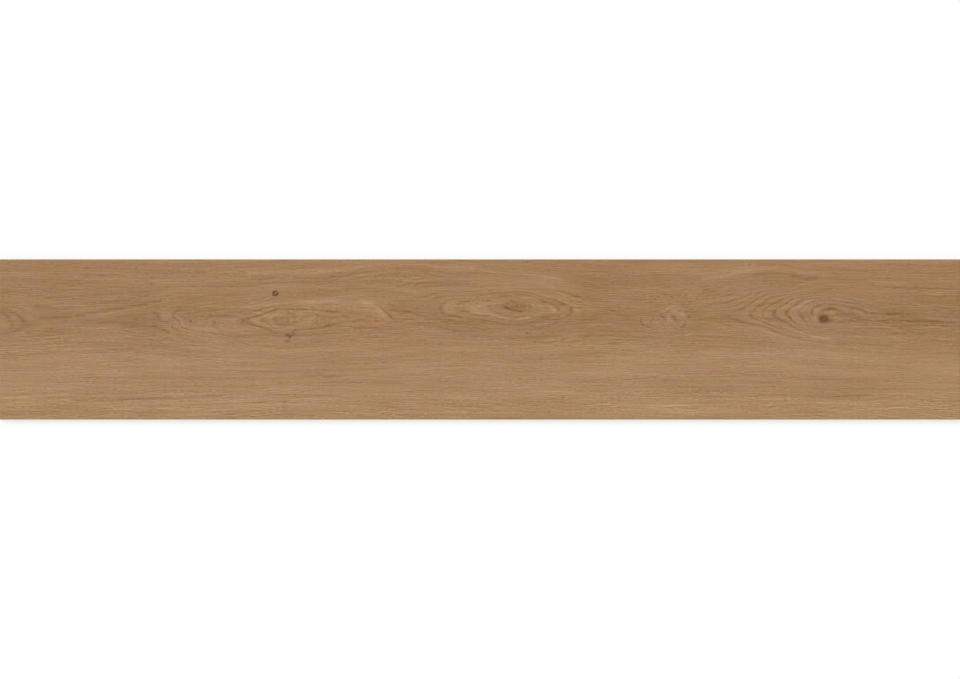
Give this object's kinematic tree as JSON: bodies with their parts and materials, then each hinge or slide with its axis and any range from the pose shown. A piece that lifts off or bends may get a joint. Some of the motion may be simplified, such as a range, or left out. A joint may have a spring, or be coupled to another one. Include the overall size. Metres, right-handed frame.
{
  "type": "porcelain plank tile",
  "caption": "Long narrow porcelain tile with a matt wood-look face, ground square edges with a fine bevel, and a back of shallow ribbed cells that key into adhesive.",
  "frame": {"origin": "middle of the tile's back, on the plane of the back ribs that the tile lies on", "axes": "+X along the plank's length, +Y across its width, +Z out of the wood-look face"},
  "size_m": [1.2, 0.2, 0.009],
  "materials": {
    "printed_porcelain": "matte"
  },
  "bodies": {
    "root": {"plank_tile": "printed_porcelain"}
  },
  "joints": []
}
